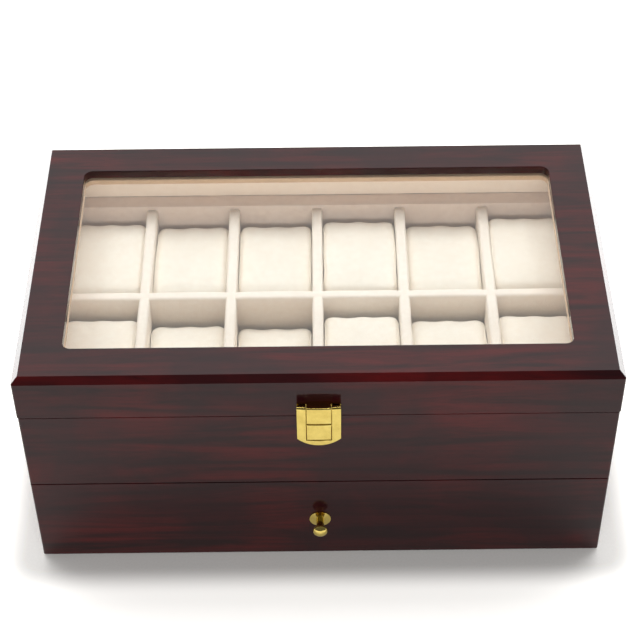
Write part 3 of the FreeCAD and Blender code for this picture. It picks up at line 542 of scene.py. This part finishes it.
def make_dividers(level):
    """The long divider and the cross dividers of the tray or the drawer."""
    long_node, cross_node = level + "_long_divider", level + "_cross_dividers"
    long_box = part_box(long_node)
    middle_y = (long_box[0].y + long_box[1].y) / 2
    half = (long_box[1].y - long_box[0].y) / 2
    radius = half * DIVIDER_ROUND
    cross_boxes = [solid["box"] for solid in separate_solids(cross_node)]
    creases = [(box[0].x + box[1].x) / 2 + side * half for box in cross_boxes for side in (-1, 1)]
    shape = puckered(creases, 0, long_box)
    name = long_node + "_cover"
    covered_board(name, long_node, long_box, radius, "interior_velvet", LONG_DIVIDER_SEED, 0, shape)
    for number, box in enumerate(cross_boxes):
        name = "%s_cross_divider_%d_cover" % (level, number + 1)
        shape = puckered((middle_y - half, middle_y + half), 1, box)
        seed = CROSS_DIVIDER_SEED + number
        covered_board(name, cross_node, box, radius, "interior_velvet", seed, 1, shape)


RETAINER_EASE = 0.7 * MM
RETAINER_SEGMENTS = 3
FLAT_DEGREES = 1.0
SHARP_DEGREES = 60.0


def make_retainer():
    """The covered frame under the glass: the CAD frame with its edges wrapped round."""
    node = "lid_glass_retainer"
    mesh = welded(node)
    flat = math.radians(FLAT_DEGREES)
    bmesh.ops.dissolve_limit(mesh, angle_limit=flat, verts=mesh.verts, edges=mesh.edges)
    sharp = [edge for edge in mesh.edges if edge.calc_face_angle(0.0) > math.radians(SHARP_DEGREES)]
    bmesh.ops.bevel(
        mesh, geom=sharp, offset=RETAINER_EASE, segments=RETAINER_SEGMENTS, profile=0.5, affect="EDGES",
    )
    data = finished(mesh, node + "_cover")
    smooth(data)
    # The retainer's cover takes the darker velvet with painted shade
    stand_for(add_object(node + "_cover", data), node, "retainer_velvet")


# Pillows
PILLOW_VOXEL = 2.6 * MM
PILLOW_START = Vector((1.03, 0.965, 0.965))  # the shares of its size that a pillow swells from
PILLOW_CAP = 3.0 * MM  # how far a point of a cover may move
PILLOW_SIDE_GAP = 0.35 * MM  # how far a cover may reach past its solid
DENT_SIZE = 17.0 * MM
DENT_DEPTH = 0.45 * MM
SIMULATION_FRAMES = 20
CLOTH = {
    "quality": 6,
    "mass": 0.15,
    "tension_stiffness": 25,
    "compression_stiffness": 25,
    "shear_stiffness": 12,
    "bending_stiffness": 1.0,
    "use_pressure": True,
    "uniform_pressure_force": 4.0,
}
WELT_RADIUS = 0.45 * MM
WELT_SHARE = 0.84  # of the end's half length and height
WELT_POINTS = 40
WELT_POWER = 4  # of the rounded oblong that a welt follows: 2 would be an ellipse


def start_shape(name, solid):
    """A remeshed copy of one pillow solid, at the size that it swells from."""
    low, high = solid["box"]
    centre = (low + high) / 2
    points = [centre + (point - centre) * PILLOW_START for point in solid["points"]]
    data = bpy.data.meshes.new(name)
    data.from_pydata(points, [], solid["faces"])
    piece = add_object(name, data)
    remesh = piece.modifiers.new("remesh", "REMESH")
    remesh.mode = "VOXEL"
    remesh.voxel_size = PILLOW_VOXEL
    apply_modifiers(piece)
    return piece


def swell(pieces):
    """Simulate the covers of several pillows at once, under pressure from inside."""
    before = {}
    for piece in pieces:
        before[piece.name] = [vertex.co.copy() for vertex in piece.data.vertices]
        cloth = piece.modifiers.new("cloth", "CLOTH").settings
        for key, value in CLOTH.items():
            setattr(cloth, key, value)
        cloth.effector_weights.gravity = 0.0
    for step in range(1, SIMULATION_FRAMES + 1):
        SCENE.frame_set(step)
    for piece in pieces:
        apply_modifiers(piece)
        for vertex, start in zip(piece.data.vertices, before[piece.name]):
            move = vertex.co - start
            if move.length > PILLOW_CAP:
                vertex.co = start + move * (PILLOW_CAP / move.length)
    SCENE.frame_set(1)


def settle(piece, box, seed):
    """Give the cover a few soft dents, and press it flat on its floor and against its neighbours."""
    low, high = box
    for vertex, normal, share in swings(piece.data, DENT_SIZE, seed):
        spot = vertex.co + normal * (DENT_DEPTH * share)
        for axis in (0, 1):
            spot[axis] = min(max(spot[axis], low[axis] - PILLOW_SIDE_GAP), high[axis] + PILLOW_SIDE_GAP)
        spot.z = max(spot.z, low.z)
        vertex.co = spot


def subdivide(piece):
    piece.modifiers.new("smooth", "SUBSURF").levels = 1
    apply_modifiers(piece)
    smooth(piece.data)


def end_line(piece, box, end):
    """Points on the cover round one of the pillow's ends, on a rounded oblong."""
    low, high = box
    centre = (low + high) / 2
    half = (high - low) / 2 * WELT_SHARE
    tree = BVHTree.FromObject(piece, bpy.context.evaluated_depsgraph_get())
    path = []
    for number in range(WELT_POINTS):
        turn = 2 * math.pi * number / WELT_POINTS
        across, up = math.cos(turn), math.sin(turn)
        bulge = (abs(across) ** WELT_POWER + abs(up) ** WELT_POWER) ** (-1 / WELT_POWER)
        outside = centre.x + end * (high.x - low.x)
        start = Vector((outside, centre.y + half.y * bulge * across, centre.z + half.z * bulge * up))
        hit = tree.ray_cast(start, Vector((-end, 0, 0)))[0]
        if hit is not None:
            path.append(hit)
    return path


def tube(name, path):
    """The mesh of a thin closed tube along the path."""
    curve = bpy.data.curves.new(name, "CURVE")
    curve.dimensions = "3D"
    curve.bevel_depth = WELT_RADIUS
    curve.bevel_resolution = 2
    spline = curve.splines.new("NURBS")
    spline.points.add(len(path) - 1)
    for point, spot in zip(spline.points, path):
        point.co = (*spot, 1.0)
    spline.use_cyclic_u = True
    spline.order_u = 3
    line = add_object(name + "_line", curve)
    data = bpy.data.meshes.new_from_object(line.evaluated_get(bpy.context.evaluated_depsgraph_get()))
    bpy.data.objects.remove(line)
    smooth(data)
    return data


def make_welts(piece, box):
    """The sewn seams round a pillow's end panels, as thin welts that lie on the cover."""
    for side, end in (("left", -1), ("right", 1)):
        name = "%s_welt_%s" % (piece.name, side)
        welt = add_object(name, tube(name, end_line(piece, box, end)))
        paint(welt, "pillow_velvet")
        welt.parent = piece


def make_pillows():
    """Every pillow's cover is simulated from its CAD solid, then settled in its compartment."""
    jobs = []
    for node in sorted(name for name in NODES if "pillow" in name):
        solids = separate_solids(node)
        for number, solid in enumerate(solids):
            name = node + "_cover" if len(solids) == 1 else "%s_%d_cover" % (node[:-1], number + 1)
            jobs.append((node, solid["box"], start_shape(name, solid)))
    swell([piece for node, box, piece in jobs])
    for seed, (node, box, piece) in enumerate(jobs):
        settle(piece, box, seed)
        subdivide(piece)
        stand_for(piece, node, "pillow_velvet")
        make_welts(piece, box)


# Surroundings
FLOOR_HALF = 4.0
FLOOR_LIFT = 0.03  # how much brighter than lit the paper is seen in a mirror or through glass
FLOOR_WHITE = 0.55  # how much brighter the camera sees it, well away from the box
FLOOR_SHADE_FROM = 9.0 * MM  # from the box's footprint, where the paper starts to turn white
FLOOR_SHADE_TO = 30.0 * MM
KEY_PLACE = Vector((0.0, 0.40, 1.22))
KEY_SIZE = (1.6, 0.5)
KEY_POWER = 11.4
FILL_PLACE = Vector((0.0, -1.25, 0.70))
FILL_SIZE = (0.9, 0.3)
FILL_POWER = 8.5
BACK_PLACE = Vector((0.0, 1.50, 1.50))
BACK_SIZE = (1.8, 0.9)
BACK_POWER = 3.2
LAMP_TARGET = Vector((0.0, 0.0, 0.08))
SIDE_PLACE = Vector((0.60, 0.40, 0.085))
SIDE_SIZE = (0.46, 0.15)
SIDE_POWER = 1.3
SIDE_TARGET = Vector((0.16, 0.0, 0.12))
ROOM_DIM = 0.12  # the world's strength towards the front, where 1 is white
ROOM_DIM_TO = -0.2  # the share of a direction that points back, up to which the world is dim
ROOM_WHITE_FROM = 0.6


def off_footprint(shader):
    """How far a place on the floor lies outside the box's footprint."""
    place = shader.add("ShaderNodeSeparateXYZ", {0: shader.place}).outputs
    squares = []
    for axis, half in zip("XY", CAD_BOX[1]):
        beyond = shader.math("SUBTRACT", shader.math("ABSOLUTE", place[axis]), half)
        beyond = shader.math("MAXIMUM", beyond, 0.0)
        squares.append(shader.math("MULTIPLY", beyond, beyond))
    return shader.math("SQRT", shader.math("ADD", *squares))


def floor_paper(name):
    """White studio paper with a barely visible tooth. Close to the box it shows the lamps' shadow."""
    shader = new_shader(name)
    tooth = shader.noise(scale=700.0, detail=3.0, roughness=0.6)
    tint = shader.stained(colour(250, 248, 245), colour(255, 253, 250), tooth, 0.3, 0.7)
    normal = shader.bump(tooth, distance=0.1 * MM, strength=0.3)
    paper = shader.add("ShaderNodeBsdfDiffuse", {"Color": tint, "Normal": normal}).outputs[0]
    rays = shader.add("ShaderNodeLightPath").outputs
    in_glass = shader.math("MAXIMUM", rays["Is Glossy Ray"], rays["Is Transmission Ray"])
    away = off_footprint(shader)
    white = shader.span(away, FLOOR_SHADE_FROM, FLOOR_SHADE_TO, 0.0, FLOOR_WHITE, "SMOOTHSTEP")
    seen = shader.math("MULTIPLY", rays["Is Camera Ray"], white)
    lift = shader.math("MAXIMUM", shader.math("MULTIPLY", in_glass, FLOOR_LIFT), seen)
    glow = shader.add("ShaderNodeEmission", {"Color": tint, "Strength": lift}).outputs[0]
    return shader.surface(shader.add("ShaderNodeAddShader", {0: paper, 1: glow}).outputs[0])


def make_floor():
    mesh = bmesh.new()
    bmesh.ops.create_grid(mesh, x_segments=1, y_segments=1, size=FLOOR_HALF)
    floor = add_object("floor", finished(mesh, "floor"))
    floor.data.materials.append(floor_paper("studio_paper"))


def make_world():
    """White behind and at the sides, dim towards the front above, as in a room behind the camera."""
    SCENE.world = bpy.data.worlds.new("studio")
    shader = Shader(SCENE.world)
    direction = shader.add("ShaderNodeSeparateXYZ", {0: shader.coordinates["Generated"]}).outputs
    room = shader.span(direction["Y"], ROOM_DIM_TO, ROOM_WHITE_FROM, ROOM_DIM, 1.0, "SMOOTHSTEP")
    seen = shader.add("ShaderNodeLightPath").outputs["Is Camera Ray"]
    inputs = {"Color": (1.0, 1.0, 1.0, 1.0), "Strength": shader.math("MAXIMUM", room, seen)}
    shader.surface(shader.add("ShaderNodeBackground", inputs).outputs[0], "ShaderNodeOutputWorld")


def add_lamp(name, place, size, power, target=LAMP_TARGET):
    data = bpy.data.lights.new(name, "AREA")
    data.shape = "RECTANGLE"
    data.size, data.size_y = size
    data.energy = power
    lamp = add_object(name, data)
    lamp.location = place
    lamp.rotation_euler = (place - target).to_track_quat("Z", "Y").to_euler()
    return lamp


def mirrored(place, side):
    return Vector((side * place.x, place.y, place.z))


def make_surroundings():
    make_floor()
    make_world()
    add_lamp("overhead", KEY_PLACE, KEY_SIZE, KEY_POWER)
    fill = add_lamp("front_fill", FILL_PLACE, FILL_SIZE, FILL_POWER)
    fill.visible_glossy = False
    add_lamp("back_sky", BACK_PLACE, BACK_SIZE, BACK_POWER)
    for name, side in (("side_left", -1), ("side_right", 1)):
        add_lamp(name, mirrored(SIDE_PLACE, side), SIDE_SIZE, SIDE_POWER, mirrored(SIDE_TARGET, side))
    SCENE.view_settings.view_transform = "Standard"


make_camera()
dress_frame()
make_liners()
# The lid lining takes the tan velvet with painted shade
make_lining("lid_lining", "lid_velvet", LINING_PILE)
make_lining("drawer_lining", "interior_velvet")
make_pads()
make_retainer()
make_dividers("tray")
make_dividers("drawer")
make_pillows()
make_surroundings()
